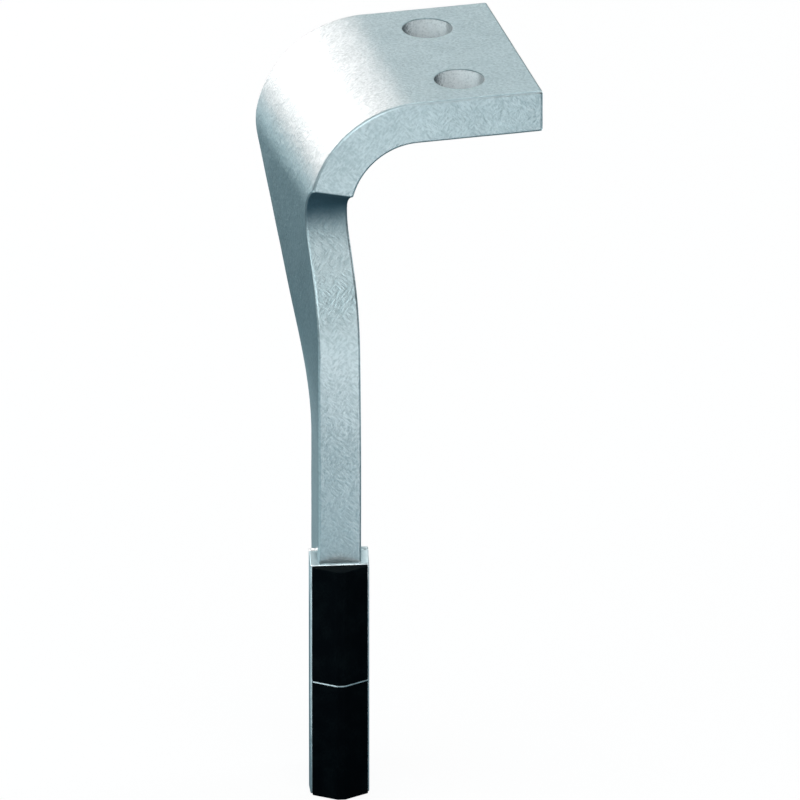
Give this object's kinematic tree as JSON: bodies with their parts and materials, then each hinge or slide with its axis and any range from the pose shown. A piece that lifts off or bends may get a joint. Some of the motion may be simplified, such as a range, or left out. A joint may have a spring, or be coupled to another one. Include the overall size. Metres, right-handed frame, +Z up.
{
  "type": "power harrow tine",
  "caption": "Forged bolt-on soil tine: flat drilled flange bent into a shouldered, tapering, twisted blade with hard tiles on the tip's leading face.",
  "frame": {"origin": "middle of the two bolt holes, on the flange's top face, which bolts up against the rotor", "axes": "+X along the flange to its free end, +Y to the trailing side (the tiles face -Y), +Z up out of the flange; the blade hangs down"},
  "size_m": [0.1021, 0.1203, 0.3],
  "materials": {
    "forged_steel": "forged and blasted, satin blue-grey",
    "tungsten_carbide": "sintered, satin black",
    "silver_braze": "bright silver braze"
  },
  "bodies": {
    "root": {"tine_body": "forged_steel", "upper_tile": "tungsten_carbide", "lower_tile": "tungsten_carbide", "braze_layer": "silver_braze"}
  },
  "joints": []
}
